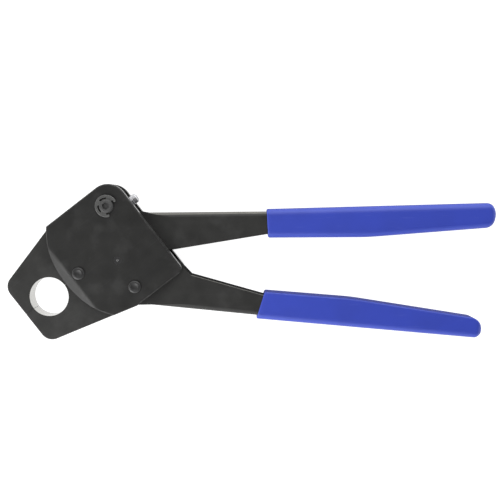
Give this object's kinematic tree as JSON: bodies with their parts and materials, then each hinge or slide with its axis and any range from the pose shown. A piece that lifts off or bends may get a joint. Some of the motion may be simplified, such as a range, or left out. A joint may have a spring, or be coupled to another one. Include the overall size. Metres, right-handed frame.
{
  "type": "pex crimp tool",
  "caption": "Hand crimp tool with a round die in swinging jaws, black steel side plates, an adjustable eccentric pivot and long handles with blue dipped grips.",
  "frame": {"origin": "centre of the die hole at mid thickness of the jaws", "axes": "+X runs toward the grips, +Y toward the upper handle and +Z out of the front side plate along the die"},
  "size_m": [0.3073, 0.0979, 0.0268],
  "materials": {
    "plate_steel": "matt black oxide",
    "jaw_steel": "matt black oxide, bright in the die",
    "handle_steel": "matt black oxide",
    "pin_steel": "dark satin steel",
    "grip_vinyl": "satin dipped vinyl",
    "clip_steel": "phosphated spring steel",
    "screw_zinc": "bright zinc",
    "bright_steel": "ground steel",
    "bushing_bronze": "oiled sintered bronze"
  },
  "bodies": {
    "head": {"front_side_plate": "plate_steel", "rear_side_plate": "plate_steel", "lower_jaw": "jaw_steel", "lower_handle": "handle_steel", "lower_grip": "grip_vinyl", "jaw_pivot_pin": "pin_steel", "handle_anchor_pin": "pin_steel", "stop_pin": "bright_steel", "front_pivot_bushing": "bushing_bronze", "rear_pivot_bushing": "bushing_bronze"},
    "upper_handle": {"upper_handle": "handle_steel", "upper_grip": "grip_vinyl", "eccentric_pin": "pin_steel", "e_clip": "clip_steel", "lock_screw": "screw_zinc", "drive_pin": "bright_steel", "front_thrust_washer": "bright_steel", "rear_thrust_washer": "bright_steel"},
    "upper_jaw": {"upper_jaw": "jaw_steel", "jaw_bushing": "bushing_bronze"},
    "drive_roller": {"drive_roller": "bright_steel"}
  },
  "joints": [
    {"name": "upper_handle_swing", "type": "hinge", "parent": "head", "child": "upper_handle", "pos_m": [0.03746, 0.05697, 0], "axis": [0, 0, 1], "range_deg": [0, 80]},
    {"name": "upper_jaw_swing", "type": "hinge", "parent": "head", "child": "upper_jaw", "pos_m": [0.0196, 0.01504, 0], "axis": [0, 0, 1], "range_deg": [-42.4, 0]},
    {"name": "drive_roller_spin", "type": "hinge", "parent": "upper_handle", "child": "drive_roller", "pos_m": [0.02141, 0.04882, 0], "axis": [0, 0, 1], "continuous": true}
  ],
  "couplings": [
    {"joint": "upper_jaw_swing", "follows": "upper_handle_swing", "ratio": -0.53}
  ]
}
